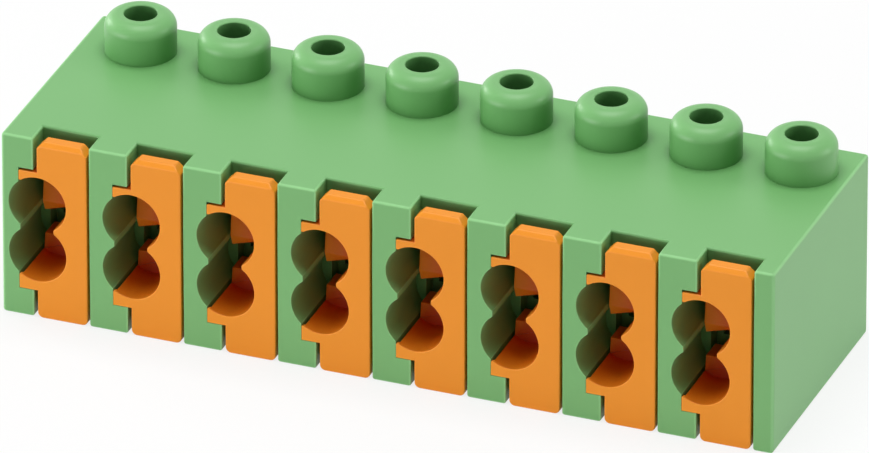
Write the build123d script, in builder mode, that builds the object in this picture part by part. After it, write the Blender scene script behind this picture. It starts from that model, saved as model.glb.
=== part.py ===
"""Pluggable terminal block with eight poles, push-in wire clamps and pin sockets.

Millimetres, +Z up. The origin is under the middle of the block: X runs along the row of poles,
the wire side faces -Y and the underside lies on Z = 0. Sizes named depth are measured from the
front face towards the rear, and sizes named height from the underside. Sizes named left and
right are measured along X from a pole's pin axis.
"""

from build123d import *
from math import cos, pi, radians, sin, sqrt, tan
import os

os.makedirs("parts", exist_ok=True)

# Row of poles
pole_count = 8
pitch = 3.5
end_wall_left = 0.27
end_wall_right = 0.74

# Moulded block
body_depth = 9.4
body_height = 7.0
corner_radius = 0.15
top_edge_chamfer = 0.12

# Pin guides on top
pin_axis_from_rear = 2.01
guide_radius = 1.27
guide_height = 1.47
guide_edge_radius = 0.5
guide_edge_bands = 2
pin_bore_radius = 0.585

# Front slot of each actuator bar
bar_width = 1.86
bar_gap_left = 0.13
bar_gap_right = 0.08
slot_depth = 1.0
slot_foot_radius = 0.12

# Double wire hole: two lobes joined by a neck
lobe_radius = 1.06
lobe_centre_left = -0.92
lower_lobe_height = 2.48
lobe_spacing = 1.92
neck_reach_left = 0.63
neck_reach_right = 0.59

# Pocket behind the slot for the actuator's lip and core
tongue_width = 0.08
pocket_brim_top = 0.3
pocket_brim_bottom = 0.4
partition_depth = 3.5
partition_thickness = 0.4

# Chamber for the contact and the spring, open to the underside
chamber_left = -1.5
chamber_right = 1.3
chamber_roof_thickness = 0.7
rear_wall = 0.5

# Wire opening with a lead-in through the partition
wire_opening = 0.9
wire_opening_rise = 0.28
lead_in_depth = 0.1

# Actuator
travel = 0.4
travel_stop_gap = 0.05
bar_top_gap = 0.13
bar_top_chamfer = 0.15
bar_left_corner = 0.24
bar_right_corner = 0.26
bar_foot_radius = 0.2
lip_thickness = 0.15
lip_gap_left = 0.03
core_gap_left = 0.03
core_gap_top = 0.08
core_gap_bottom = 0.03
upper_wall_thickness = 0.95
lower_block_thickness = 1.1
upper_wall_lean = 0.3
lower_wall_lean = 0.2
window_drop = 0.33
window_height = 0.86
window_roof_slope = 19
upper_wall_crease_rise = 0.49

# Snap arms on the actuator
arm_width = 1.0
arm_centre = -0.4
arm_thickness = 0.45
arm_slit = 0.4
arm_middle_rise = 0.15
arm_slide_gap = 0.08
arm_reach = 0.45
barb_height = 0.22
barb_gap = 0.03

# Cage spring
spring_width = 2.0
spring_thickness = 0.25
spring_front_gap = 0.14
spring_top_flat = 0.04
spring_roof_gap = 0.6
spring_front_straight = 0.595
spring_knee_radius = 0.78
spring_tip_gap = 0.1
spring_tip_setback = 0.65

# Contact
contact_floor_height = 1.85
contact_sheet = 0.3
contact_front_gap = 0.1
socket_outer = 1.9
ridge_rise = 2.15
ridge_length = 0.9
pin_diameter = 1.0
pin_pinch = 0.05

# Places in a pole that follow from the sizes
slot_left = -bar_width / 2 - bar_gap_left
slot_right = bar_width / 2 + bar_gap_right
upper_lobe_height = lower_lobe_height + lobe_spacing
neck_left = lobe_centre_left - neck_reach_left
neck_right = lobe_centre_left + neck_reach_right
pocket_left = neck_left - tongue_width
pocket_floor_height = lower_lobe_height - lobe_radius - pocket_brim_bottom
pocket_roof_height = upper_lobe_height + lobe_radius + pocket_brim_top
core_left = neck_left + core_gap_left
lobe_reach_at_core = sqrt(lobe_radius**2 - (core_left - lobe_centre_left) ** 2)
wire_opening_height = lower_lobe_height + wire_opening_rise
arm_left = arm_centre - arm_width / 2
arm_middle_height = upper_lobe_height + arm_middle_rise
arms_half_height = arm_slit / 2 + arm_thickness

# Depths that follow from the sizes
pin_axis_depth = body_depth - pin_axis_from_rear
chamber_front_depth = partition_depth + partition_thickness
chamber_rear_depth = body_depth - rear_wall
socket_front_depth = pin_axis_depth - socket_outer / 2
lower_block_back_depth = partition_depth - travel - travel_stop_gap
wall_depth = lower_block_back_depth - lower_block_thickness
upper_wall_back_depth = wall_depth + upper_wall_thickness
tongue_depth = upper_wall_back_depth
bar_thickness = slot_depth - travel - travel_stop_gap

# Heights that follow from the sizes
bar_height = body_height - bar_top_gap
chamber_roof_height = body_height - chamber_roof_thickness
core_roof_height = pocket_roof_height - core_gap_top
core_floor_height = pocket_floor_height + core_gap_bottom
window_floor_height = lower_lobe_height - window_drop
window_roof_height = window_floor_height + window_height
window_roof_rise = (neck_right - pocket_left) * tan(radians(window_roof_slope))
contact_top_height = contact_floor_height + contact_sheet

# The row: each pole's pin axis along X, with the block's middle at X = 0
first_pole_from_left = end_wall_left + lobe_radius - lobe_centre_left
last_pole_from_right = slot_right + end_wall_right
body_width = first_pole_from_left + (pole_count - 1) * pitch + last_pole_from_right
pole_x = [first_pole_from_left - body_width / 2 + pitch * pole for pole in range(pole_count)]
front_y = -body_depth / 2
pin_axis_y = front_y + pin_axis_depth


def at_depth(depth):
    """Sketch plane parallel to the front face at a depth, with X and Z as its axes."""
    return Plane.XZ.offset(-front_y - depth)


def rectangle_between(left, right, low, high, mode=Mode.ADD):
    """Rectangle of the open sketch, given by its four sides."""
    with Locations(((left + right) / 2, (low + high) / 2)):
        Rectangle(right - left, high - low, mode=mode)


# One pin guide, with its rounded top edge in plain bands
band_angles = [pi / 2 * band / guide_edge_bands for band in range(guide_edge_bands + 1)]
with BuildPart() as pin_guide:
    with BuildSketch(Plane.XZ):
        with BuildLine():
            Polyline(
                (0, 0),
                (guide_radius, 0),
                *[
                    (
                        guide_radius - guide_edge_radius * (1 - cos(angle)),
                        guide_height - guide_edge_radius * (1 - sin(angle)),
                    )
                    for angle in band_angles
                ],
                (0, guide_height),
                close=True,
            )
        make_face()
    revolve(axis=Axis.Z)

# Housing
with BuildPart() as housing:
    with BuildSketch(Plane.XY):
        RectangleRounded(body_width, body_depth, corner_radius)
    extrude(amount=body_height)
    chamfer(housing.faces().sort_by(Axis.Z)[-1].edges(), top_edge_chamfer)

    # Pin guides with their bores
    with Locations(*[(x, pin_axis_y, body_height) for x in pole_x]):
        add(pin_guide.part)
    with BuildSketch(Plane.XY.offset(body_height + guide_height)):
        with Locations(*[(x, pin_axis_y) for x in pole_x]):
            Circle(pin_bore_radius)
    extrude(amount=-guide_height - chamber_roof_thickness, mode=Mode.SUBTRACT)

    # Slots for the bars, open above and below
    with BuildSketch(at_depth(0)):
        for x in pole_x:
            rectangle_between(x + slot_left, x + slot_right, 0, body_height)
    extrude(amount=-slot_depth, mode=Mode.SUBTRACT)
    bottom_edges = housing.edges().filter_by(Axis.Y).group_by(Axis.Z)[0].sort_by(Axis.X)
    fillet(bottom_edges[1:-1], slot_foot_radius)

    # Front of each pocket, with a tongue left between the lobes of the wire hole
    with BuildSketch(at_depth(0)):
        for x in pole_x:
            rectangle_between(x + pocket_left, x + slot_right, pocket_floor_height, pocket_roof_height)
            rectangle_between(
                x + pocket_left, x + neck_left, lower_lobe_height, upper_lobe_height, Mode.SUBTRACT
            )
            with Locations(
                (x + lobe_centre_left, lower_lobe_height), (x + lobe_centre_left, upper_lobe_height)
            ):
                Circle(lobe_radius)
    extrude(amount=-tongue_depth, mode=Mode.SUBTRACT)

    # Rest of each pocket, as far as the partition
    with BuildSketch(at_depth(tongue_depth)):
        for x in pole_x:
            rectangle_between(x + pocket_left, x + slot_right, pocket_floor_height, pocket_roof_height)
    extrude(amount=tongue_depth - partition_depth, mode=Mode.SUBTRACT)

    # Chambers, open to the underside
    with BuildSketch(Plane.XY):
        for x in pole_x:
            rectangle_between(
                x + chamber_left,
                x + chamber_right,
                front_y + chamber_front_depth,
                front_y + chamber_rear_depth,
            )
    extrude(amount=chamber_roof_height, mode=Mode.SUBTRACT)

    # Openings for the wire and the snap arms through the partition
    with BuildSketch(at_depth(partition_depth)):
        for x in pole_x:
            with Locations((x + lobe_centre_left, wire_opening_height)):
                Rectangle(wire_opening, wire_opening)
            rectangle_between(
                x + arm_left - arm_slide_gap,
                x + arm_left + arm_width + arm_slide_gap,
                arm_middle_height - arms_half_height - arm_slide_gap,
                arm_middle_height + arms_half_height + arm_slide_gap,
            )
    extrude(amount=-partition_thickness, mode=Mode.SUBTRACT)

    # Sloping lead-in to each wire opening
    with BuildSketch(at_depth(partition_depth)):
        with Locations(*[(x + lobe_centre_left, wire_opening_height) for x in pole_x]):
            Rectangle(wire_opening + 2 * lead_in_depth, wire_opening + 2 * lead_in_depth)
    extrude(amount=-lead_in_depth, taper=45, mode=Mode.SUBTRACT)

housing.part.label = "housing"
export_step(housing.part, "parts/housing.step")

# Free space inside an actuator: the double wire hole, ended by the leaning walls, and the window
# under a sloping roof
with BuildPart() as wire_space:
    with BuildSketch(at_depth(0)):
        with Locations((lobe_centre_left, lower_lobe_height), (lobe_centre_left, upper_lobe_height)):
            Circle(lobe_radius)
        rectangle_between(core_left, neck_right, lower_lobe_height, upper_lobe_height)
        rectangle_between(
            pocket_left,
            core_left,
            lower_lobe_height - lobe_reach_at_core,
            upper_lobe_height + lobe_reach_at_core,
        )
    extrude(amount=-partition_depth)
    with BuildSketch(Plane.YZ.offset(lobe_centre_left - lobe_radius)):
        with BuildLine():
            Polyline(
                (front_y, pocket_floor_height),
                (front_y + wall_depth, pocket_floor_height),
                (front_y + wall_depth + lower_wall_lean, window_floor_height),
                (front_y + partition_depth, window_floor_height),
                (front_y + partition_depth, window_roof_height),
                (front_y + wall_depth + lower_wall_lean, window_roof_height),
                (front_y + wall_depth, window_roof_height + upper_wall_crease_rise),
                (front_y + wall_depth + upper_wall_lean, pocket_roof_height),
                (front_y, pocket_roof_height),
                close=True,
            )
        make_face()
    extrude(amount=2 * lobe_radius, mode=Mode.INTERSECT)
    with BuildSketch(at_depth(wall_depth)):
        with BuildLine():
            Polyline(
                (pocket_left, window_roof_height),
                (neck_right, window_roof_height),
                (neck_right, window_roof_height + window_roof_rise),
                close=True,
            )
        make_face()
    extrude(amount=wall_depth - partition_depth)

# Actuator
with BuildPart() as actuator:
    # Front bar
    with BuildSketch(at_depth(0)) as bar_outline:
        rectangle_between(-bar_width / 2, bar_width / 2, 0, bar_height)
        chamfer(bar_outline.vertices().group_by(Axis.Y)[-1].sort_by(Axis.X)[0], bar_left_corner)
        chamfer(bar_outline.vertices().group_by(Axis.Y)[-1].sort_by(Axis.X)[-1], bar_right_corner)
        fillet(bar_outline.vertices().group_by(Axis.Y)[0], bar_foot_radius)
    extrude(amount=-bar_thickness)
    chamfer(actuator.edges().filter_by(Axis.X).group_by(Axis.Z)[-1].sort_by(Axis.Y)[0], bar_top_chamfer)

    # Lip that covers the pocket's mouth, flush with the bar
    with BuildSketch(at_depth(0)):
        rectangle_between(
            pocket_left + lip_gap_left, bar_width / 2, core_floor_height, core_roof_height
        )
    extrude(amount=-lip_thickness)

    # Core: an upper wall and a deeper lower block round the wire hole
    with BuildSketch(Plane.YZ.offset(core_left)):
        rectangle_between(
            front_y, front_y + upper_wall_back_depth, window_floor_height, core_roof_height
        )
        rectangle_between(
            front_y, front_y + lower_block_back_depth, core_floor_height, window_floor_height
        )
    extrude(amount=bar_width / 2 - core_left)
    add(wire_space.part, mode=Mode.SUBTRACT)

    # Snap arms, with barbs that catch behind the partition
    barb_depth = chamber_front_depth + barb_gap
    nose_depth = chamber_front_depth + arm_reach
    for side in (-1, 1):
        inner_height = arm_middle_height + side * arm_slit / 2
        outer_height = arm_middle_height + side * arms_half_height
        with BuildSketch(Plane.YZ.offset(arm_left)):
            with BuildLine():
                Polyline(
                    (front_y + upper_wall_back_depth, inner_height),
                    (front_y + upper_wall_back_depth, outer_height),
                    (front_y + barb_depth, outer_height),
                    (front_y + barb_depth, outer_height + side * barb_height),
                    (front_y + nose_depth, outer_height),
                    (front_y + nose_depth, inner_height),
                    close=True,
                )
            make_face()
        extrude(amount=arm_width)

# Cage spring: a leg on the socket, a loop under the roof and a leg that clamps the wire
with BuildPart() as cage_spring:
    spring_rear_y = front_y + socket_front_depth - spring_thickness / 2
    spring_front_y = front_y + chamber_front_depth + arm_reach + spring_front_gap + spring_thickness / 2
    spring_bend_radius = (spring_rear_y - spring_front_y - spring_top_flat) / 2
    spring_top_height = chamber_roof_height - spring_roof_gap - spring_thickness / 2
    spring_knee_height = spring_top_height - spring_bend_radius - spring_front_straight
    with BuildSketch(Plane.YZ.offset(arm_centre - spring_width / 2)):
        with BuildLine():
            FilletPolyline(
                (spring_rear_y, contact_top_height),
                (spring_rear_y, spring_top_height),
                (spring_front_y, spring_top_height),
                (spring_front_y, spring_knee_height),
                (spring_rear_y - spring_tip_setback, contact_top_height + spring_tip_gap),
                radius=(spring_bend_radius, spring_bend_radius, spring_knee_radius),
            )
        trace(line_width=spring_thickness)
    extrude(amount=spring_width)

# Contact
with BuildPart() as contact:
    # Current bar that the wire lies on
    with BuildSketch(Plane.XY.offset(contact_floor_height)):
        rectangle_between(
            chamber_left,
            chamber_right,
            front_y + chamber_front_depth + contact_front_gap,
            front_y + chamber_rear_depth,
        )
    extrude(amount=contact_sheet)

    # Socket round the pin
    socket_inner = socket_outer - 2 * contact_sheet
    with BuildSketch(Plane.XY.offset(contact_top_height)):
        with Locations((0, pin_axis_y)):
            Rectangle(socket_outer, socket_outer)
            Rectangle(socket_inner, socket_inner, mode=Mode.SUBTRACT)
    extrude(amount=chamber_roof_height - contact_top_height)

    # Bent ridges that pinch the pin
    ridge_tip = (pin_diameter - pin_pinch) / 2
    ridge_foot = socket_inner / 2
    ridge_height = contact_top_height + ridge_rise
    with BuildSketch(Plane.XZ.offset(-pin_axis_y)):
        for side in (-1, 1):
            with BuildLine():
                Polyline(
                    (side * ridge_foot, ridge_height - ridge_foot + ridge_tip),
                    (side * ridge_tip, ridge_height),
                    (side * ridge_foot, ridge_height + ridge_foot - ridge_tip),
                    close=True,
                )
            make_face()
    extrude(amount=ridge_length / 2, both=True)

# One actuator, spring and contact for every pole
for pole, x in enumerate(pole_x, start=1):
    for name, piece in (("actuator", actuator), ("cage_spring", cage_spring), ("contact", contact)):
        placed = Pos(x, 0, 0) * piece.part
        placed.label = f"{name}_{pole}"
        export_step(placed, f"parts/{name}_{pole}.step")
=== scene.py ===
"""Looks of a pluggable terminal block: moulded housing, push actuators, springs and contacts.

Shapes are worked out in millimetres round one pole's pin axis, put at the poles' places and made
metres as the last step. X runs along the row, -Y is the wire side and Z is up from the underside.
"""

import logging
from dataclasses import dataclass, field
from enum import Enum
from typing import Callable, Sequence

import bmesh
import bpy
import numpy as np
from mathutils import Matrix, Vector


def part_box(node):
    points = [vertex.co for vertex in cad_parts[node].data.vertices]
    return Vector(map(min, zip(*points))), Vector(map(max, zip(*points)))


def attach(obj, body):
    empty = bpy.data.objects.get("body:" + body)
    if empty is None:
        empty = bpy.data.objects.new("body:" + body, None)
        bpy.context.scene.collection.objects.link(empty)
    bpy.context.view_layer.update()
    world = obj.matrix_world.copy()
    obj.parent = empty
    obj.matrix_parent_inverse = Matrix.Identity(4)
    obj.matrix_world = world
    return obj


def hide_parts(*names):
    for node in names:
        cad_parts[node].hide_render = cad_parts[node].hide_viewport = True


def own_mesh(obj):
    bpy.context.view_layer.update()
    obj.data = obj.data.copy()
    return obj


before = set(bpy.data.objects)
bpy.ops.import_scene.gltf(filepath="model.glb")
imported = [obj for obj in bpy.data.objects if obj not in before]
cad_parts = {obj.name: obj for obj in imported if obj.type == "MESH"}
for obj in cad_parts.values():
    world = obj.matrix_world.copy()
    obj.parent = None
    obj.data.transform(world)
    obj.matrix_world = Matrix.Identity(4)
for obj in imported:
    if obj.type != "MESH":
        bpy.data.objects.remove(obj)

MM = 0.001
ROUNDING_STEPS = 3  # faces across a rounded edge
SHARP_ANGLE = np.radians(38.0)  # angle between two faces past which their edge stays crisp
NORMAL_WEIGHT = 80  # how strongly large faces steer the normals beside them
PARALLEL = 0.999  # least cosine of the angle to an axis at which an edge runs along it
NEAR = 0.01  # how far from a place an edge still counts as there, in millimetres
# painted shade in hollows: how far it looks for closing walls, and with how many rays
PAINTED_SHADE_REACH = 0.0015  # how far away a wall still closes a hollow, in metres
PAINTED_SHADE_SAMPLES = 6  # rays that look for such walls
# painted highlight on the marked rounded edges
HIGHLIGHT_GAIN, HIGHLIGHT_LIFT = 1.3, 0.06  # the pale tone is this many times the colour, plus this much
TONE_SCALE = 300.0  # noise scale of the drift of tone
MOULD_SCALE = 9000.0  # noise scale of the moulded skin's grain
SHEET_SCALE = 3000.0  # noise scale of the rolled sheet's marks
Feed = float | tuple[float, ...] | bpy.types.NodeSocket  # what an input of a node gets
Setting = str | int | bpy.types.NodeTree  # what a setting of a node gets
log = logging.getLogger("terminal_block")


class Along(Enum):
    """Direction in which an outline is drawn out, with the axes that its two columns follow."""

    X = (0, 1, 2)
    Y = (1, 0, 2)
    Z = (2, 0, 1)


class Join(Enum):
    """What a shape does to the work piece."""

    ADD = "UNION"
    CUT = "DIFFERENCE"
    KEEP_COMMON = "INTERSECT"


@dataclass
class Shape:
    """A closed surface in millimetres.

    Attributes:
        points: One row per vertex.
        faces: Vertex numbers round each face.
    """

    points: np.ndarray
    faces: list[list[int]]

    def moved(self, x: float) -> "Shape":
        """The same shape shifted along the row."""
        return Shape(self.points + np.array([x, 0.0, 0.0]), self.faces)

    @staticmethod
    def joined(shapes: Sequence["Shape"]) -> "Shape":
        """Several separate shapes as one.

        Args:
            shapes: Shapes that don't touch each other.

        Returns:
            One shape with all their faces.
        """
        starts = np.cumsum([0] + [len(shape.points) for shape in shapes])
        faces = [
            [int(start) + number for number in face]
            for start, shape in zip(starts, shapes)
            for face in shape.faces
        ]
        return Shape(np.vstack([shape.points for shape in shapes]), faces)

    def as_object(self, name: str) -> bpy.types.Object:
        """The shape as a linked Blender object, still in millimetres.

        Args:
            name: Name of the object and of its mesh.

        Returns:
            The object.
        """
        mesh = bpy.data.meshes.new(name)
        mesh.from_pydata(self.points.tolist(), [], self.faces)
        return linked(name, mesh)


def linked(name: str, data: bpy.types.ID) -> bpy.types.Object:
    """A new object of the scene that shows the data.

    Args:
        name: Name of the object.
        data: Its mesh, light or camera.

    Returns:
        The object.
    """
    thing = bpy.data.objects.new(name, data)
    bpy.context.scene.collection.objects.link(thing)
    return thing


def discard(thing: bpy.types.Object) -> None:
    """Removes an object together with its mesh.

    Args:
        thing: The object.
    """
    mesh = thing.data
    bpy.data.objects.remove(thing)
    bpy.data.meshes.remove(mesh)


def mesh_values(items: bpy.types.bpy_prop_collection, name: str, kind: type, width: int = 1) -> np.ndarray:
    """Copies one property of a mesh's vertices, edges, loops or polygons.

    Args:
        items: The vertices, edges, loops or polygons.
        name: The property.
        kind: Type of its numbers.
        width: How many numbers each item has.

    Returns:
        One row per item, or one number per item where the width is 1.
    """
    numbers = np.empty(len(items) * width, dtype=kind)
    items.foreach_get(name, numbers)
    return numbers.reshape(-1, width) if width > 1 else numbers


def arc(centre: tuple[float, float], radius: float, first: float, last: float, steps: int) -> np.ndarray:
    """Points on a circle: the centre plus the radius times cosine and sine of evenly spaced angles.

    Args:
        centre: Middle of the circle.
        radius: Its radius.
        first: Angle of the first point, in degrees.
        last: Angle of the last point, in degrees.
        steps: Number of points less one.

    Returns:
        One row per point.
    """
    angles = np.radians(np.linspace(first, last, steps + 1))
    return np.column_stack([centre[0] + radius * np.cos(angles), centre[1] + radius * np.sin(angles)])


def rectangle(left: float, right: float, low: float, high: float) -> np.ndarray:
    """The four corners of a rectangle, one row each."""
    return np.array([(left, low), (right, low), (right, high), (left, high)])


def prism(outline: np.ndarray, start: float, end: float, along: Along) -> Shape:
    """Draws an outline out along an axis: its points at the start, then the same points at the end.

    Args:
        outline: Points round the outline, in the two axes that the direction leaves.
        start: Place of the first end.
        end: Place of the other end, past the first.
        along: Direction to draw it in.

    Returns:
        The closed prism, faces outwards.
    """
    axis, first, second = along.value
    x, y = outline.T
    turned = np.sum(x * np.roll(y, -1) - np.roll(x, -1) * y) < 0
    if turned != (along is Along.Y):
        outline = outline[::-1]
    count = len(outline)
    points = np.zeros((2 * count, 3))
    points[:, first], points[:, second] = np.tile(outline, (2, 1)).T
    points[:count, axis], points[count:, axis] = start, end
    near = np.arange(count)
    following = np.roll(near, -1)
    sides = np.column_stack([near, following, following + count, near + count])
    faces = [near[::-1].tolist(), (near + count).tolist(), *sides.tolist()]
    return Shape(points, faces)


def block(left: float, right: float, front: float, rear: float, low: float, high: float) -> Shape:
    """A plain box between six planes."""
    return prism(rectangle(left, right, low, high), front, rear, Along.Y)


def turned(profile: np.ndarray, y: float, segments: int) -> Shape:
    """Turns a profile round an upright axis in the middle of the row.

    Each point becomes a ring at its own height, the axis plus its radius times cosine and sine.

    Args:
        profile: Radius and height of each ring, from the lowest to the highest.
        y: Place of the axis from front to rear.
        segments: Points in each ring.

    Returns:
        The closed shape, faces outwards.
    """
    angles = np.linspace(0, 2 * np.pi, segments, endpoint=False)
    radius, height = profile.T
    points = np.stack(
        [
            np.outer(radius, np.cos(angles)),
            y + np.outer(radius, np.sin(angles)),
            np.repeat(height[:, None], segments, axis=1),
        ],
        axis=2,
    ).reshape(-1, 3)
    ring = np.arange(segments)
    starts = segments * np.arange(len(profile) - 1)[:, None]
    lower = (ring + starts).ravel()
    lower_next = (np.roll(ring, -1) + starts).ravel()
    sides = np.column_stack([lower, lower_next, lower_next + segments, lower + segments])
    top = ring + segments * (len(profile) - 1)
    return Shape(points, [ring[::-1].tolist(), top.tolist(), *sides.tolist()])


@dataclass
class WorkPiece:
    """A mesh that is added to and cut in millimetres, then has its edges rounded.

    Attributes:
        name: Name of the mesh that comes out.
        start: The first shape.
        steps: What is done to it, in order.
    """

    name: str
    start: Shape
    steps: list[tuple[Join, Shape]] = field(default_factory=list)

    def add(self, shape: Shape) -> None:
        """Joins a shape on."""
        self.steps.append((Join.ADD, shape))

    def cut(self, shape: Shape) -> None:
        """Takes a shape away."""
        self.steps.append((Join.CUT, shape))

    def keep_common(self, shape: Shape) -> None:
        """Keeps only what lies in the shape too."""
        self.steps.append((Join.KEEP_COMMON, shape))

    def made(self) -> bpy.types.Mesh:
        """Carries out the steps.

        Returns:
            The mesh, in millimetres, with sharp edges.
        """
        piece = self.start.as_object(self.name)
        tools = []
        for number, (join, shape) in enumerate(self.steps):
            tool = shape.as_object(f"{self.name}_tool_{number}")
            tools.append(tool)
            modifier = piece.modifiers.new(tool.name, "BOOLEAN")
            modifier.operation = join.value
            modifier.solver = "EXACT"
            modifier.object = tool
        mesh = evaluated(piece, self.name)
        for thing in (piece, *tools):
            discard(thing)
        return mesh

    def shape(self) -> Shape:
        """Carries out the steps and gives the result as a shape, to cut another piece with.

        Returns:
            The shape, in millimetres.
        """
        mesh = self.made()
        points = mesh_values(mesh.vertices, "co", np.float32, 3)
        faces = [list(face.vertices) for face in mesh.polygons]
        bpy.data.meshes.remove(mesh)
        return Shape(points.astype(float), faces)

    def rounded(
        self,
        widths: Callable[["Edges"], np.ndarray],
        highlighted: Callable[[np.ndarray], np.ndarray],
    ) -> bpy.types.Mesh:
        """Carries out the steps and rounds the edges.

        Args:
            widths: Gives the width of each edge's rounding, 0 for none.
            highlighted: Tells which points lie where a rounding gets the painted highlight.

        Returns:
            The mesh, in millimetres, shaded smooth with weighted normals.
        """
        mesh = self.made()
        width = widths(Edges.of(mesh))
        widest = float(width.max())
        weights = mesh.attributes.new("bevel_weight_edge", "FLOAT", "EDGE")
        weights.data.foreach_set("value", (width / widest).astype(np.float32))
        thing = linked(self.name, mesh)
        bevel = thing.modifiers.new("rounding", "BEVEL")
        bevel.limit_method = "WEIGHT"
        bevel.offset_type = "OFFSET"
        bevel.width = widest
        bevel.segments = ROUNDING_STEPS
        bevel.use_clamp_overlap = False
        # the roundings get the second material slot, which marks them for the painted highlight
        mesh.materials.append(None)
        mesh.materials.append(None)
        bevel.material = 1
        rounded = evaluated(thing, self.name + "_rounded")
        mark_edge_highlights(rounded, highlighted)
        discard(thing)
        return shaded(rounded, self.name)


def mark_edge_highlights(mesh: bpy.types.Mesh, highlighted: Callable[[np.ndarray], np.ndarray]) -> None:
    """Gives each point a painted_highlight_share for the painted highlight: 1 within a marked rounding, 0
    on its border and elsewhere.

    Args:
        mesh: A mesh whose roundings have the second material slot, which this clears.
        highlighted: Tells which points lie where a rounding gets the painted highlight.
    """
    kind = mesh_values(mesh.polygons, "material_index", np.int32)
    sizes = mesh_values(mesh.polygons, "loop_total", np.int32)
    corners = mesh_values(mesh.loops, "vertex_index", np.int32)
    share = np.ones(len(mesh.vertices), dtype=np.float32)
    share[corners[np.repeat(kind == 0, sizes)]] = 0.0
    share[~highlighted(mesh_values(mesh.vertices, "co", np.float32, 3))] = 0.0
    marks = mesh.attributes.new("painted_highlight_share", "FLOAT", "POINT")
    marks.data.foreach_set("value", share)
    mesh.polygons.foreach_set("material_index", np.zeros_like(kind))
    mesh.materials.clear()


def evaluated(thing: bpy.types.Object, name: str) -> bpy.types.Mesh:
    """The object's mesh with its modifiers applied, under a new name.

    Args:
        thing: The object.
        name: Name of the new mesh.

    Returns:
        The new mesh.
    """
    graph = bpy.context.evaluated_depsgraph_get()
    graph.update()
    mesh = bpy.data.meshes.new_from_object(thing.evaluated_get(graph), depsgraph=graph)
    mesh.name = name
    return mesh


def shaded(mesh: bpy.types.Mesh, name: str) -> bpy.types.Mesh:
    """Shades a mesh smooth, but for its sharp edges, so that flat faces look flat.

    Args:
        mesh: The mesh, which this replaces.
        name: Name of the new mesh.

    Returns:
        The new mesh.
    """
    edges = Edges.of(mesh)
    sharp = mesh.attributes.new("sharp_edge", "BOOLEAN", "EDGE")
    sharp.data.foreach_set("value", edges.angle > SHARP_ANGLE)
    mesh.polygons.foreach_set("use_smooth", np.ones(len(mesh.polygons), dtype=bool))
    thing = linked(name, mesh)
    weighted = thing.modifiers.new("normals", "WEIGHTED_NORMAL")
    weighted.keep_sharp = True
    weighted.weight = NORMAL_WEIGHT
    finished = evaluated(thing, name)
    discard(thing)
    return finished


@dataclass
class Edges:
    """What is known of a mesh's edges, one entry per edge.

    Attributes:
        middle: Middle of each edge, in millimetres.
        direction: Direction of each edge.
        angle: Angle between its two faces, 0 where it hasn't two.
        outward: True where the edge stands out and False where it is a groove.
    """

    middle: np.ndarray
    direction: np.ndarray
    angle: np.ndarray
    outward: np.ndarray

    @staticmethod
    def of(mesh: bpy.types.Mesh) -> "Edges":
        """Measures a mesh's edges.

        The loops are sorted by edge, so that an edge's two faces come one after the other. The
        angle is the arc cosine of their normals' product. An edge stands out where the other
        face's middle lies behind the first face's plane.

        Args:
            mesh: A closed mesh.

        Returns:
            Its edges' facts.
        """
        points = mesh_values(mesh.vertices, "co", np.float32, 3)
        ends = mesh_values(mesh.edges, "vertices", np.int32, 2)
        loop_edge = mesh_values(mesh.loops, "edge_index", np.int32)
        sizes = mesh_values(mesh.polygons, "loop_total", np.int32)
        normals = mesh_values(mesh.polygons, "normal", np.float32, 3)
        centres = mesh_values(mesh.polygons, "center", np.float32, 3)

        loop_face = np.repeat(np.arange(len(sizes)), sizes)
        order = np.argsort(loop_edge, kind="stable")
        uses = np.bincount(loop_edge, minlength=len(ends))
        first = np.concatenate([[0], np.cumsum(uses)[:-1]])
        paired = uses == 2
        one = loop_face[order[first[paired]]]
        other = loop_face[order[first[paired] + 1]]

        angle = np.zeros(len(ends))
        angle[paired] = np.arccos(np.clip(np.sum(normals[one] * normals[other], axis=1), -1, 1))
        outward = np.zeros(len(ends), dtype=bool)
        outward[paired] = np.sum((centres[other] - centres[one]) * normals[one], axis=1) < 0
        run = points[ends[:, 1]] - points[ends[:, 0]]
        length = np.linalg.norm(run, axis=1, keepdims=True)
        return Edges(points[ends].mean(axis=1), run / np.maximum(length, 1e-9), angle, outward)

    def runs_along(self, along: Along) -> np.ndarray:
        """True where an edge runs along that axis."""
        return np.abs(self.direction[:, along.value[0]]) > PARALLEL

    def near(self, along: Along, place: float) -> np.ndarray:
        """True where an edge's middle is at that place on the axis."""
        return np.abs(self.middle[:, along.value[0]] - place) < NEAR


@dataclass(frozen=True)
class PlasticFinish:
    """A moulded plastic.

    Attributes:
        name: Name of the material.
        color: Base colour, linear.
        roughness: Roughness of the moulded skin.
        specular: Specular level, 0.5 for plain plastic.
        painted_shade_richness: How much richer the painted shade makes the colour in a closed hollow, as
            an added power.
        painted_shade_darkness: How much darker the painted shade makes it there, as a share.
        painted_shade_falloff: How late both set in as a hollow closes, as a power.
        edge_highlight_strength: How pale the painted highlight makes the marked rounded edges, from 0 to
            1.
        tone_drift: How far the tone wanders, as a share.
        grain_depth: Depth of the fine grain, in metres.
    """

    name: str
    color: tuple[float, float, float]
    roughness: float
    specular: float
    painted_shade_richness: float
    painted_shade_darkness: float
    painted_shade_falloff: float
    edge_highlight_strength: float
    tone_drift: float
    grain_depth: float


@dataclass(frozen=True)
class MetalFinish:
    """A rolled sheet metal.

    Attributes:
        name: Name of the material.
        color: Base colour, linear.
        roughness: Roughness across the sheet.
        grain_depth: Depth of the rolling marks, in metres.
        stretch: How much finer the marks are along each axis.
    """

    name: str
    color: tuple[float, float, float]
    roughness: float
    grain_depth: float
    stretch: tuple[float, float, float]


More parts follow.
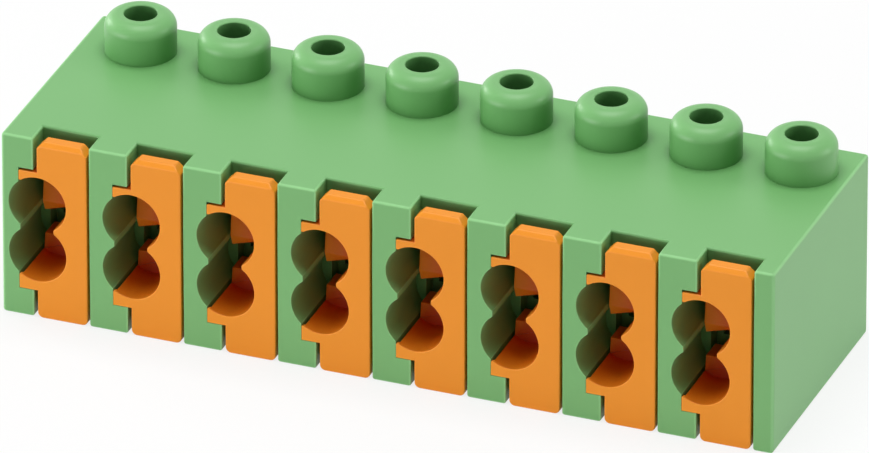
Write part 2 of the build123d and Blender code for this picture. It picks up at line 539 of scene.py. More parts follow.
GREEN_PLASTIC = PlasticFinish(
    name="green_plastic",
    color=(0.193, 0.458, 0.168),
    roughness=0.36,
    specular=0.3,
    painted_shade_richness=0.5,
    painted_shade_darkness=0.4,
    painted_shade_falloff=1.5,
    edge_highlight_strength=0.8,
    tone_drift=0.05,
    grain_depth=0.6e-6,
)
ORANGE_PLASTIC = PlasticFinish(
    name="orange_plastic",
    color=(0.870, 0.295, 0.020),
    roughness=0.38,
    specular=0.25,
    painted_shade_richness=2.8,
    painted_shade_darkness=0.45,
    painted_shade_falloff=1.0,
    edge_highlight_strength=0.15,
    tone_drift=0.05,
    grain_depth=0.6e-6,
)
SPRING_STEEL = MetalFinish("spring_steel", (0.55, 0.55, 0.56), 0.3, 0.5e-6, (1.0, 1.0, 30.0))
TINNED_COPPER = MetalFinish("tinned_copper", (0.66, 0.65, 0.62), 0.34, 0.4e-6, (1.0, 12.0, 1.0))


@dataclass
class Wiring:
    """Puts nodes in a tree and feeds their inputs, each with a value or with another node's output.

    Attributes:
        tree: The tree.
    """

    tree: bpy.types.NodeTree

    @staticmethod
    def group(name: str, inputs: dict[str, str], output: tuple[str, str]) -> "Wiring":
        """The wiring of a new node group.

        Args:
            name: Name of the group.
            inputs: The kind of each input, such as Float, by its name.
            output: Name and kind of its output.

        Returns:
            The wiring, still without nodes.
        """
        tree = bpy.data.node_groups.new(name, "ShaderNodeTree")
        for socket, kind in inputs.items():
            tree.interface.new_socket(socket, in_out="INPUT", socket_type=f"NodeSocket{kind}")
        tree.interface.new_socket(output[0], in_out="OUTPUT", socket_type=f"NodeSocket{output[1]}")
        return Wiring(tree)

    def feed(self, node: bpy.types.Node, inputs: dict[int | str, Feed]) -> None:
        """Links each input that is given an output, and sets each that is given a value.

        Args:
            node: The node.
            inputs: What its inputs get, by number or name.
        """
        for name, value in inputs.items():
            if isinstance(value, bpy.types.NodeSocket):
                self.tree.links.new(value, node.inputs[name])
            else:
                node.inputs[name].default_value = value

    def node(
        self, kind: str, inputs: dict[int | str, Feed], **settings: Setting
    ) -> bpy.types.bpy_prop_collection:
        """Adds a node.

        Args:
            kind: Its type, without the words ShaderNode.
            inputs: What its inputs get, by number or name.
            **settings: Its settings, which are made before the inputs are looked up.

        Returns:
            Its outputs.
        """
        node = self.tree.nodes.new(f"ShaderNode{kind}")
        for name, value in settings.items():
            setattr(node, name, value)
        self.feed(node, inputs)
        return node.outputs

    def math(self, operation: str, *values: Feed) -> bpy.types.NodeSocket:
        """The result of a Math node."""
        return self.node("Math", dict(enumerate(values)), operation=operation)[0]

    def placed(self, group: bpy.types.NodeTree, inputs: dict[str, Feed]) -> bpy.types.NodeSocket:
        """The output of a node group that is used here with these inputs."""
        return self.node("Group", inputs, node_tree=group)[0]

    def given(self) -> bpy.types.bpy_prop_collection:
        """What the group is given from outside, as outputs by name."""
        return self.tree.nodes.new("NodeGroupInput").outputs

    def give(self, result: bpy.types.NodeSocket) -> bpy.types.NodeTree:
        """Makes a result the group's output, and hands the finished group over."""
        self.feed(self.tree.nodes.new("NodeGroupOutput"), {0: result})
        return self.tree


class Effects:
    """Shader node groups that the finishes share, each built once."""

    def __init__(self) -> None:
        """Builds the groups."""
        self.tone = self._tone_group()
        # painted shade in narrow hollows
        self.hollow = self._painted_shade_group()
        # painted highlight on the marked rounded edges
        self.edge = self._edge_highlight_group()
        self.grain = self._grain_group()

    @staticmethod
    def _tone_group() -> bpy.types.NodeTree:
        """A colour that drifts lighter and darker over the surface.

        The colour is scaled by 1 + drift * (noise - 0.5).

        Returns:
            The group, with inputs Color, Drift and Scale and the output Color.
        """
        inputs = {"Color": "Color", "Drift": "Float", "Scale": "Float"}
        wiring = Wiring.group("tone_drift", inputs, ("Color", "Color"))
        given = wiring.given()
        place = wiring.node("TexCoord", {})["Object"]
        noise = wiring.node("TexNoise", {"Vector": place, "Scale": given["Scale"], "Detail": 3.0})["Fac"]
        centred = wiring.math("SUBTRACT", noise, 0.5)
        share = wiring.math("MULTIPLY_ADD", centred, given["Drift"], 1.0)
        shade = wiring.node("VectorMath", {0: given["Color"], "Scale": share}, operation="SCALE")
        return wiring.give(shade["Vector"])

    @staticmethod
    def _painted_shade_group() -> bpy.types.NodeTree:
        """Painted shade: a colour painted deeper and richer inside narrow hollows, where shade falls.

        The openness of a point is the share of the half space over it that is free of its own piece
        within the reach, and its depth is (1 - openness) to the power of the falloff. The colour is
        raised to the power 1 + richness * depth and scaled by 1 - darkness * depth, which paints the
        hollow's shade and the richer colour of light bounced inside it into the colour.

        Returns:
            The group, with inputs Color, Richness, Darkness, Falloff and Reach and the output Color.
        """
        inputs = {"Color": "Color", **dict.fromkeys(("Richness", "Darkness", "Falloff", "Reach"), "Float")}
        wiring = Wiring.group("painted_hollow_shade", inputs, ("Color", "Color"))
        given = wiring.given()
        reach = {"Distance": given["Reach"]}
        openness = wiring.node("AmbientOcclusion", reach, samples=PAINTED_SHADE_SAMPLES, only_local=True)["AO"]
        depth = wiring.math("POWER", wiring.math("SUBTRACT", 1.0, openness), given["Falloff"])
        power = wiring.math("MULTIPLY_ADD", depth, given["Richness"], 1.0)
        rest = wiring.math("SUBTRACT", 1.0, wiring.math("MULTIPLY", depth, given["Darkness"]))
        richer = wiring.node("Gamma", {"Color": given["Color"], "Gamma": power})["Color"]
        darker = wiring.node("VectorMath", {0: richer, "Scale": rest}, operation="SCALE")
        return wiring.give(darker["Vector"])

    @staticmethod
    def _edge_highlight_group() -> bpy.types.NodeTree:
        """Painted highlight: a colour painted paler on the marked rounded edges.

        The pale tone is the colour times a gain plus a lift.

        Returns:
            The group, with inputs Color and Paleness and the output Color.
        """
        wiring = Wiring.group("painted_edge_highlight", {"Color": "Color", "Highlight": "Float"}, ("Color", "Color"))
        given = wiring.given()
        marks = wiring.node("Attribute", {}, attribute_name="painted_highlight_share")["Fac"]
        amount = wiring.math("MULTIPLY", marks, given["Highlight"])
        paler = {0: given["Color"], 1: (HIGHLIGHT_GAIN,) * 3, 2: (HIGHLIGHT_LIFT,) * 3}
        pale = wiring.node("VectorMath", paler, operation="MULTIPLY_ADD")["Vector"]
        mixed = wiring.node("Mix", {"Factor": amount, "A": given["Color"], "B": pale}, data_type="RGBA")
        return wiring.give(mixed["Result"])

    @staticmethod
    def _grain_group() -> bpy.types.NodeTree:
        """A fine grain that tilts the normal.

        Returns:
            The group, with inputs Depth, Scale and Stretch and the output Normal.
        """
        inputs = {"Depth": "Float", "Scale": "Float", "Stretch": "Vector"}
        wiring = Wiring.group("fine_grain", inputs, ("Normal", "Vector"))
        given = wiring.given()
        place = wiring.node("TexCoord", {})["Object"]
        stretched = wiring.node("VectorMath", {0: place, 1: given["Stretch"]}, operation="MULTIPLY")
        cells = {"Vector": stretched["Vector"], "Scale": given["Scale"], "Detail": 2.0}
        noise = wiring.node("TexNoise", cells)["Fac"]
        bump = wiring.node("Bump", {"Height": noise, "Distance": given["Depth"]})
        return wiring.give(bump["Normal"])


class Finishes:
    """The materials of the block."""

    def __init__(self) -> None:
        """Makes the shared effects and every material."""
        self.effects = Effects()
        self.green = self.plastic(GREEN_PLASTIC)
        self.orange = self.plastic(ORANGE_PLASTIC)
        self.steel = self.metal(SPRING_STEEL)
        self.tin = self.metal(TINNED_COPPER)

    @staticmethod
    def started(name: str) -> tuple[bpy.types.Material, Wiring]:
        """A new material and the wiring of its nodes.

        Args:
            name: Name of the material.

        Returns:
            The material, and its wiring with a Principled shader in it.
        """
        material = bpy.data.materials.new(name)
        material.use_nodes = True
        return material, Wiring(material.node_tree)

    def plastic(self, finish: PlasticFinish) -> bpy.types.Material:
        """Satin moulded plastic with a faint drift of tone, a fine grain, painted shade in narrow hollows
        and a painted highlight on the marked rounded edges.

        Args:
            finish: Its values.

        Returns:
            The material.
        """
        material, wiring = self.started(finish.name)
        shader = wiring.tree.nodes["Principled BSDF"]
        tone = wiring.placed(
            self.effects.tone,
            {"Color": (*finish.color, 1.0), "Drift": finish.tone_drift, "Scale": TONE_SCALE},
        )
        # painted shade: the colour darker and richer in narrow hollows
        hollow = wiring.placed(
            self.effects.hollow,
            {
                "Color": tone,
                "Richness": finish.painted_shade_richness,
                "Darkness": finish.painted_shade_darkness,
                "Falloff": finish.painted_shade_falloff,
                "Reach": PAINTED_SHADE_REACH,
            },
        )
        # painted highlight: the colour paler on the marked rounded edges
        edge = wiring.placed(self.effects.edge, {"Color": hollow, "Highlight": finish.edge_highlight_strength})
        grain = wiring.placed(
            self.effects.grain,
            {"Depth": finish.grain_depth, "Scale": MOULD_SCALE, "Stretch": (1.0, 1.0, 1.0)},
        )
        wiring.feed(shader, {"Base Color": edge, "Normal": grain})
        shader.inputs["Roughness"].default_value = finish.roughness
        shader.inputs["Specular IOR Level"].default_value = finish.specular
        return material

    def metal(self, finish: MetalFinish) -> bpy.types.Material:
        """Rolled sheet with fine marks along one direction.

        Args:
            finish: Its values.

        Returns:
            The material.
        """
        material, wiring = self.started(finish.name)
        shader = wiring.tree.nodes["Principled BSDF"]
        grain = wiring.placed(
            self.effects.grain,
            {"Depth": finish.grain_depth, "Scale": SHEET_SCALE, "Stretch": finish.stretch},
        )
        wiring.feed(shader, {"Normal": grain})
        shader.inputs["Base Color"].default_value = (*finish.color, 1.0)
        shader.inputs["Metallic"].default_value = 1.0
        shader.inputs["Roughness"].default_value = finish.roughness
        return material


@dataclass
class PoleRow:
    """The places that the frame gives, in millimetres.

    Attributes:
        pin_from_actuator_right: From an actuator's right side back to its pole's pin axis.
        left, right, front, rear, low: Sides of the block.
        guide_top: Top of the pin guides.
        numbers: Number of each pole.
        pin_x: Place of each pole's pin axis along the row.
        bar_top: Top of the bars.
    """

    pin_from_actuator_right: float = 0.93

    def __post_init__(self) -> None:
        """Reads the block's box and each actuator's box."""
        low, high = (np.array(corner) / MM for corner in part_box("housing"))
        self.left, self.front, self.low = low
        self.right, self.rear, self.guide_top = high
        names = sorted(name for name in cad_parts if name.startswith("actuator_"))
        self.numbers = [int(name.rsplit("_", 1)[1]) for name in names]
        boxes = [np.array(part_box(name)) / MM for name in names]
        self.pin_x = [float(box[1][0]) - self.pin_from_actuator_right for box in boxes]
        self.bar_top = float(boxes[0][1][2])


@dataclass
class WireHole:
    """The double wire hole: two lobes joined by a neck.

    Sizes are in millimetres: heights from the underside and the rest from a pin axis.
    """

    radius: float = 1.06
    centre_left: float = -0.92
    lower_height: float = 2.48
    upper_height: float = 4.4
    neck_left: float = -1.55
    neck_right: float = -0.33
    steps: int = 96

    def angle_at(self, x: float) -> float:
        """Angle of a lobe's upper half at a place, in degrees: arc cosine of offset over radius."""
        return float(np.degrees(np.arccos((x - self.centre_left) / self.radius)))

    def in_actuator(self, core_left: float, left: float) -> np.ndarray:
        """Outline of the hole in an actuator, which is open to the left past the core's side.

        Args:
            core_left: Left side of the core, where the lobes end.
            left: Left end of the opening.

        Returns:
            One row of X and Z per point, anticlockwise.
        """
        right, side = self.angle_at(self.neck_right), self.angle_at(core_left)
        lower = arc((self.centre_left, self.lower_height), self.radius, -side, right, self.steps)
        upper = arc((self.centre_left, self.upper_height), self.radius, -right, side, self.steps)
        ends = [(left, upper[-1, 1]), (left, lower[0, 1])]
        return np.vstack([lower, upper, ends])

    def in_housing(self, left: float, right: float, floor: float, roof: float) -> np.ndarray:
        """Outline of the housing's pocket where the hole passes it.

        A rectangle whose left side follows the lobes where they reach past it, and which leaves a
        tongue between them, as far as the neck. Each lobe's part is an arc on the left, between
        the angles at which the circle crosses the rectangle's side and the neck's side.

        Args:
            left: Left side of the rectangle.
            right: Right side.
            floor: Lower side.
            roof: Upper side.

        Returns:
            One row of X and Z per point, anticlockwise.
        """
        at_side, at_neck, steps = self.angle_at(left), self.angle_at(self.neck_left), self.steps // 2
        upper = arc((self.centre_left, self.upper_height), self.radius, at_side, 360 - at_neck, steps)
        lower = arc((self.centre_left, self.lower_height), self.radius, at_neck, 360 - at_side, steps)
        return np.vstack([rectangle(left, right, floor, roof), upper, lower])


@dataclass
class Moulding:
    """What the housing and the actuators share.

    Sizes are in millimetres: depths from the front, heights from the underside and the rest from a
    pin axis.

    Attributes:
        row: The places that the frame gives.
        hole: The double wire hole.
        partition_depth: Front of the wall between the pockets and the chambers.
    """

    row: PoleRow
    hole: WireHole
    partition_depth: float = 3.5

    def depth(self, depth: float) -> float:
        """Place along Y of a depth."""
        return self.row.front + depth


@dataclass
class Housing(Moulding):
    """The moulded housing.

    Attributes:
        highlight_depth: How near the front, rear or ends a rounding has to be to get the painted
            highlight.
        standing_angle: Angle in degrees between two faces past which their edge is rounded.
        over: How far a cutter reaches past what it cuts.
    """

    body_height: float = 7.0
    outer_rounding: float = 0.12
    top_rounding: float = 0.1
    front_rounding: float = 0.08
    highlight_depth: float = 0.12
    rim_rounding: float = 0.05
    hole_rounding: float = 0.03
    pocket_rounding: float = 0.015
    lip_seat_rounding: float = 0.006
    pin_axis_depth: float = 7.39
    guide_radius: float = 1.27
    guide_edge_radius: float = 0.5
    pin_bore_radius: float = 0.585
    slot_left: float = -1.06
    slot_right: float = 1.01
    slot_depth: float = 1.0
    slot_foot_radius: float = 0.12
    pocket_left: float = -1.608
    pocket_floor: float = 1.042
    pocket_roof: float = 5.76
    tongue_depth: float = 2.9
    partition_thickness: float = 0.4
    chamber_left: float = -1.5
    chamber_right: float = 1.3
    chamber_roof: float = 6.3
    rear_wall: float = 0.5
    wire_opening: float = 0.9
    wire_opening_height: float = 2.76
    lead_in: float = 0.1
    arm_left: float = -0.98
    arm_right: float = 0.18
    arm_low: float = 3.82
    arm_high: float = 5.28
    guide_segments: int = 96
    guide_edge_steps: int = 12
    bore_segments: int = 64
    bore_rim_steps: int = 5
    standing_angle: float = 30.0
    over: float = 1.0

    def for_poles(self, shape: Shape) -> Shape:
        """One copy of a shape at every pole."""
        return Shape.joined([shape.moved(x) for x in self.row.pin_x])

    def guides(self) -> Shape:
        """The round pin guides, each a straight side and a quarter circle in to the flat top.

        Returns:
            The guides of all poles, which start inside the body.
        """
        radius, edge = self.guide_radius, self.guide_edge_radius
        curve = arc((radius - edge, self.row.guide_top - edge), edge, 0, 90, self.guide_edge_steps)
        profile = np.vstack([[(radius, self.body_height - self.over)], curve])
        return self.for_poles(turned(profile, self.depth(self.pin_axis_depth), self.guide_segments))

    def pin_bores(self) -> Shape:
        """Cutters for the pin bores, which flare in a quarter circle at the top rim.

        Returns:
            The cutters of all poles, which end inside the chambers.
        """
        radius, rim = self.pin_bore_radius, self.rim_rounding
        flare = arc((radius + rim, self.row.guide_top - rim), rim, 180, 90, self.bore_rim_steps)
        foot = (radius, self.chamber_roof - self.over)
        head = (radius + rim, self.row.guide_top + self.over)
        profile = np.vstack([[foot], flare, [head]])
        return self.for_poles(turned(profile, self.depth(self.pin_axis_depth), self.bore_segments))

    def slots(self) -> Shape:
        """Cutters for the slots that the bars stand in.

        Returns:
            The cutters of all poles.
        """
        front, rear = self.depth(-self.over), self.depth(self.slot_depth)
        low, high = self.row.low - self.over, self.body_height + self.over
        return self.for_poles(block(self.slot_left, self.slot_right, front, rear, low, high))

    def pocket_mouths(self) -> Shape:
        """Cutters for the fronts of the pockets, with the lobes and the tongue between them.

        Returns:
            The cutters of all poles.
        """
        left, right, floor, roof = self.pocket_left, self.slot_right, self.pocket_floor, self.pocket_roof
        outline = self.hole.in_housing(left, right, floor, roof)
        mouth = prism(outline, self.depth(-self.over), self.depth(self.tongue_depth), Along.Y)
        return self.for_poles(mouth)

    def pockets(self) -> Shape:
        """Cutters for the rest of the pockets, from the tongue to the partition.

        Returns:
            The cutters of all poles.
        """
        front, rear = self.depth(self.tongue_depth), self.depth(self.partition_depth)
        low, high = self.pocket_floor, self.pocket_roof
        return self.for_poles(block(self.pocket_left, self.slot_right, front, rear, low, high))

    def chambers(self) -> Shape:
        """Cutters for the chambers of the springs and contacts.

        Returns:
            The cutters of all poles.
        """
        front = self.depth(self.partition_depth + self.partition_thickness)
        rear = self.row.rear - self.rear_wall
        low, high = self.row.low - self.over, self.chamber_roof
        return self.for_poles(block(self.chamber_left, self.chamber_right, front, rear, low, high))

    def openings(self) -> Shape:
        """Cutters for the wire's and the arms' openings through the partition.

        Returns:
            The cutters of all poles, two for each.
        """
        start = self.depth(self.partition_depth - self.lead_in)
        end = self.depth(self.partition_depth + self.partition_thickness + self.lead_in)
        arms = block(self.arm_left, self.arm_right, start, end, self.arm_low, self.arm_high)
        half = self.wire_opening / 2
        left, height = self.hole.centre_left, self.wire_opening_height
        wire = block(left - half, left + half, start, end, height - half, height + half)
        return self.for_poles(Shape.joined([arms, wire]))

    def built(self) -> bpy.types.Mesh:
        """The whole housing with rounded edges, in millimetres.

        Returns:
            Its mesh, at its place.
        """
        row = self.row
        body = block(row.left, row.right, row.front, row.rear, row.low, self.body_height)
        piece = WorkPiece("housing_shell", body)
        piece.add(self.guides())
        piece.cut(self.pin_bores())
        piece.cut(self.slots())
        piece.cut(self.pocket_mouths())
        piece.cut(self.pockets())
        piece.cut(self.chambers())
        piece.cut(self.openings())
        return piece.rounded(self.edge_widths, self.highlighted)

    def highlighted(self, points: np.ndarray) -> np.ndarray:
        """Tells where the housing's roundings get the painted highlight: near the front, rear and ends.

        The slots' right edges don't, because the bars shade them, and neither do the guides.

        Args:
            points: One row per point.

        Returns:
            True or False per point.
        """
        row = self.row
        x, y, z = points.T
        from_slot = np.abs(x[:, None] - np.array(row.pin_x) - self.slot_right).min(axis=1)
        behind_bar = (from_slot < self.front_rounding) & (z < self.body_height - self.highlight_depth)
        near_end = np.minimum(x - row.left, row.right - x) < self.highlight_depth
        near_face = np.minimum(y - row.front, row.rear - y) < self.highlight_depth
        return (near_end | near_face) & ~behind_bar & (z < self.body_height + self.rim_rounding)

    def edge_widths(self, edges: Edges) -> np.ndarray:
        """How wide each edge's rounding is.

        Args:
            edges: The housing's edges.

        Returns:
            One width per edge, in millimetres.
        """
        row = self.row
        x, y, z = edges.middle.T
        depth = y - row.front
        pins = np.array(row.pin_x)
        from_pin = x - pins[np.argmin(np.abs(x[:, None] - pins - self.pocket_left), axis=1)]

        standing = edges.outward & (edges.angle > np.radians(self.standing_angle))
        top = edges.near(Along.Z, self.body_height)
        bottom = edges.near(Along.Z, row.low)
        front = edges.near(Along.Y, row.front)
        ends = edges.near(Along.X, row.left) | edges.near(Along.X, row.right)
        outside = ends | edges.near(Along.Y, row.rear)
        rib = edges.runs_along(Along.Z) & ((z > self.pocket_roof) | (z < self.pocket_floor))
        slot_foot = bottom & ~edges.runs_along(Along.X) & (depth < self.slot_depth)
        beside_lip = np.abs(from_pin - self.pocket_left) < NEAR
        along_floor = (from_pin > self.pocket_left) & (from_pin < self.slot_left)
        under_lip = edges.near(Along.Z, self.pocket_floor) & along_floor

        width = np.full(len(x), self.pocket_rounding)
        width[front] = self.hole_rounding
        width[front & rib] = self.front_rounding
        width[bottom] = self.rim_rounding
        width[bottom & front] = self.front_rounding
        width[slot_foot] = self.slot_foot_radius
        width[top] = self.top_rounding
        width[outside] = self.outer_rounding
        width[front & (beside_lip | under_lip)] = self.lip_seat_rounding

        deep = (depth > self.tongue_depth + self.rim_rounding) & (z < self.body_height)
        inside = deep & ~outside & ~bottom & ~top
        width[~standing | inside | (z > self.body_height + self.rim_rounding)] = 0.0
        return width

    def dressed(self, finishes: Finishes) -> None:
        """Makes the housing the finished object that stands for its node."""
        finished_piece(
            "housing_shell", self.built(), 0.0, finishes.green, "block", "housing"
        )


@dataclass
class Actuator(Moulding):
    """One push actuator.

    Attributes:
        slope_start: Where the window's roof, which rises to the right, is at its stated height.
        standing_angle: Angle in degrees between two faces past which their edge is rounded.
        over: How far a cutter reaches past what it cuts.
    """

    rounding: float = 0.045
    lip_rounding: float = 0.006
    bar_half_width: float = 0.93
    bar_thickness: float = 0.55
    bar_top_chamfer: float = 0.15
    bar_left_corner: float = 0.24
    bar_right_corner: float = 0.26
    bar_foot_radius: float = 0.2
    lip_left: float = -1.6
    lip_thickness: float = 0.15
    core_left: float = -1.52
    core_floor: float = 1.05
    core_roof: float = 5.68
    wall_depth: float = 1.95
    upper_wall_back: float = 2.9
    lower_block_back: float = 3.05
    upper_wall_lean: float = 0.3
    lower_wall_lean: float = 0.2
    window_floor: float = 2.15
    window_roof: float = 3.01
    window_slope: float = 19.0
    crease_rise: float = 0.49
    slope_start: float = -1.63
    roof_gap: float = 0.08
    arm_left: float = -0.9
    arm_right: float = 0.1
    arm_middle: float = 4.55
    arm_slit: float = 0.4
    arm_thickness: float = 0.45
    barb_depth: float = 3.93
    barb_height: float = 0.22
    nose_depth: float = 4.35
    foot_steps: int = 8
    standing_angle: float = 25.0
    over: float = 0.4

    def bar_side(self) -> tuple[np.ndarray, np.ndarray]:
        """The bar's outline in two parts: its round feet and its cut top corners.

        Returns:
            Two arrays with one row of X and Z per point, which follow each other anticlockwise.
        """
        half, foot, top = self.bar_half_width, self.bar_foot_radius, self.row.bar_top
        feet = np.vstack(
            [
                arc((-half + foot, self.row.low + foot), foot, 180, 270, self.foot_steps),
                arc((half - foot, self.row.low + foot), foot, 270, 360, self.foot_steps),
            ]
        )
        corners = np.array(
            [
                (half, top - self.bar_right_corner),
                (half - self.bar_right_corner, top),
                (-half + self.bar_left_corner, top),
                (-half, top - self.bar_left_corner),
            ]
        )
        return feet, corners

    def front_plate(self) -> Shape:
        """The fronts of the bar and the lip in one plate, as thick as the lip.

        Returns:
            The plate.
        """
        feet, corners = self.bar_side()
        right, left, roof, floor = -self.bar_half_width, self.lip_left, self.core_roof, self.core_floor
        lip = [(right, roof), (left, roof), (left, floor), (right, floor)]
        outline = np.vstack([feet, corners, lip])
        return prism(outline, self.depth(0), self.depth(self.lip_thickness), Along.Y)

    def bar(self) -> Shape:
        """The rest of the bar's thickness."""
        outline = np.vstack(self.bar_side())
        return prism(outline, self.depth(self.lip_thickness / 2), self.depth(self.bar_thickness), Along.Y)

    def top_chamfer(self) -> Shape:
        """Cutter for the sloping top edge of the bar's front.

        Returns:
            The cutter, a wedge along the row.
        """
        top, size, over = self.row.bar_top, self.bar_top_chamfer, self.over
        outline = np.array(
            [
                (self.depth(-over), top - size - over),
                (self.depth(size + over), top + over),
                (self.depth(-over), top + over),
            ]
        )
        return prism(outline, -self.bar_half_width - over, self.bar_half_width + over, Along.X)

    def core(self) -> Shape:
        """The upper wall and the deeper lower block, as one outline seen from the side.

        Returns:
            The core, still without its double hole.
        """
        start = self.depth(self.lip_thickness / 2)
        outline = np.array(
            [
                (start, self.core_floor),
                (self.depth(self.lower_block_back), self.core_floor),
                (self.depth(self.lower_block_back), self.window_floor),
                (self.depth(self.upper_wall_back), self.window_floor),
                (self.depth(self.upper_wall_back), self.core_roof),
                (start, self.core_roof),
            ]
        )
        return prism(outline, self.core_left, self.bar_half_width, Along.X)

    def wire_space(self) -> Shape:
        """Cutter for the double hole, which the leaning walls and the window end.

        Returns:
            The cutter: what the hole's outline and the space before the walls have in common.
        """
        hole = self.hole.in_actuator(self.core_left, self.lip_left - self.over)
        way = prism(hole, self.depth(-self.over), self.depth(self.partition_depth), Along.Y)
        cutter = WorkPiece("wire_space", way)
        wall, low = self.depth(self.wall_depth), self.core_floor
        back = self.depth(self.partition_depth + self.over)
        before = self.depth(-2 * self.over)
        crease = self.window_roof + self.crease_rise
        pocket_roof = self.core_roof + self.roof_gap
        outline = np.array(
            [
                (before, low),
                (wall, low),
                (wall + self.lower_wall_lean, self.window_floor),
                (back, self.window_floor),
                (back, self.window_roof),
                (wall + self.lower_wall_lean, self.window_roof),
                (wall, crease),
                (wall + self.upper_wall_lean, pocket_roof),
                (before, pocket_roof),
            ]
        )
        before_walls = prism(outline, self.lip_left - 2 * self.over, self.bar_half_width, Along.X)
        cutter.keep_common(before_walls)
        return cutter.shape()

    def window_roof_slope(self) -> Shape:
        """Cutter for the window's roof, which rises to the right: the slope's tangent times the width.

        Returns:
            The cutter.
        """
        left, right = self.core_left - self.over, self.hole.neck_right
        slope = np.tan(np.radians(self.window_slope))
        low = self.window_roof - slope * (self.slope_start - left)
        high = low + slope * (right - left)
        foot = low - self.over / 2
        outline = np.array([(left, foot), (right, foot), (right, high), (left, low)])
        return prism(outline, self.depth(self.wall_depth), self.depth(self.partition_depth), Along.Y)

    def arm(self, side: int) -> Shape:
        """One snap arm with its barb.

        Args:
            side: 1 for the upper arm and -1 for the lower one.

        Returns:
            The arm, with its root inside the upper wall.
        """
        inner = self.arm_middle + side * self.arm_slit / 2
        outer = inner + side * self.arm_thickness
        root = self.depth(self.upper_wall_back - self.over)
        barb, nose = self.depth(self.barb_depth), self.depth(self.nose_depth)
        outline = np.array(
            [
                (root, inner),
                (root, outer),
                (barb, outer),
                (barb, outer + side * self.barb_height),
                (nose, outer),
                (nose, inner),
            ]
        )
        return prism(outline, self.arm_left, self.arm_right, Along.X)

    def built(self) -> bpy.types.Mesh:
        """The actuator at the middle of the row, with rounded edges, in millimetres.

        Returns:
            Its mesh, with its pin axis at X = 0.
        """
        piece = WorkPiece("actuator_body", self.front_plate())
        piece.add(self.bar())
        piece.add(self.core())
        piece.cut(self.top_chamfer())
        piece.cut(self.wire_space())
        piece.cut(self.window_roof_slope())
        piece.add(Shape.joined([self.arm(1), self.arm(-1)]))
        return piece.rounded(self.edge_widths, self.highlighted)

    def highlighted(self, points: np.ndarray) -> np.ndarray:
        """True for points near the bar's front, whose roundings get the painted highlight."""
        return points[:, 1] < self.depth(self.lip_thickness)

    def edge_widths(self, edges: Edges) -> np.ndarray:
        """One width for every edge that stands out, but for the lip's crisp left and lower edges.

        Args:
            edges: The actuator's edges.

        Returns:
            One width per edge, in millimetres.
        """
        standing = edges.outward & (edges.angle > np.radians(self.standing_angle))
        width = np.where(standing, self.rounding, 0.0)
        at_left = edges.near(Along.X, self.lip_left)
        at_foot = edges.near(Along.Z, self.core_floor) & (edges.middle[:, 0] < -self.bar_half_width)
        width[standing & edges.near(Along.Y, self.depth(0)) & (at_left | at_foot)] = self.lip_rounding
        return width

    def dressed(self, finishes: Finishes) -> None:
        """Makes copies of one actuator the finished objects that stand for their nodes.

        Args:
            finishes: The materials.
        """
        mesh = self.built()
        for number, x in zip(self.row.numbers, self.row.pin_x):
            finished_piece(
                f"push_actuator_{number}",
                mesh.copy(),
                x,
                finishes.orange,
                f"button_{number}",
                f"actuator_{number}",
            )


def finished_piece(
    name: str,
    mesh: bpy.types.Mesh,
    x: float,
    material: bpy.types.Material,
    body: str,
    node: str,
) -> None:
    """Makes metres of a mesh and gives it to the part, as an object at the origin.

    Args:
        name: Name of the object.
        mesh: Its mesh, in millimetres.
        x: Place along the row, in millimetres.
        material: Its material.
        body: The body that it moves with.
        node: The node that it stands for.
    """
    points = mesh_values(mesh.vertices, "co", np.float32, 3)
    points = (points + np.array([x, 0, 0], dtype=np.float32)) * MM
    mesh.vertices.foreach_set("co", points.astype(np.float32).ravel())
    mesh.materials.clear()
    mesh.materials.append(material)
    mesh.update()
    mesh.name = name
    thing = linked(name, mesh)
    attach(thing, body)
    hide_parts(node)
    log.info("%s: %d faces", name, len(mesh.polygons))


@dataclass
class Clamps:
    """The cage springs and the contacts.

    Attributes:
        row: The places from the frame.
        merge_distance: How near two points of a solid are one, in metres.
        pressed_share: What is left of a spring's depth when its actuator is pressed in. It is not used.
    """

    row: PoleRow
    merge_distance: float = 1e-7
    pressed_share: float = 0.82

    def spring(self, number: int, finishes: Finishes) -> None:
        """Makes one spring from its solid.

        Args:
            number: The pole's number.
            finishes: The materials.
        """
        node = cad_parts[f"cage_spring_{number}"]
        mesh = node.data.copy()
        surface = bmesh.new()
        surface.from_mesh(mesh)
        bmesh.ops.remove_doubles(surface, verts=surface.verts, dist=self.merge_distance)
        surface.to_mesh(mesh)
        surface.free()
        mesh.materials.clear()
        mesh.materials.append(finishes.steel)
        name = f"clamp_spring_{number}"
        thing = linked(name, shaded(mesh, name))
        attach(thing, "block")
        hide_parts(node.name)
        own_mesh(thing)
        log.info("%s: %d faces", name, len(thing.data.polygons))

    def contact(self, number: int, finishes: Finishes) -> None:
        """Gives one contact of the frame its metal.

        Args:
            number: The pole's number.
            finishes: The materials.
        """
        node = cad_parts[f"contact_{number}"]
        if not node.data.materials:
            node.data.materials.append(finishes.tin)
        node.material_slots[0].material = finishes.tin
        log.info("%s: %d faces", node.name, len(node.data.polygons))

    def dressed(self, finishes: Finishes) -> None:
        """Finishes every spring and contact.

        Args:
            finishes: The materials.
        """
        for number in self.row.numbers:
            self.spring(number, finishes)
            self.contact(number, finishes)


@dataclass(frozen=True)
class Lamp:
    """A rectangular softbox aimed at the block.

    Attributes:
        name: Its name.
        azimuth: Where it stands round the block, in degrees from the wire side.
        elevation: Its height above the point it is aimed at, in degrees.
        distance: Its distance, in metres.
        width: Its width, in metres.
        height: Its height, in metres.
        power: Its power, in watts.
    """

    name: str
    azimuth: float
    elevation: float
    distance: float
    width: float
    height: float
    power: float


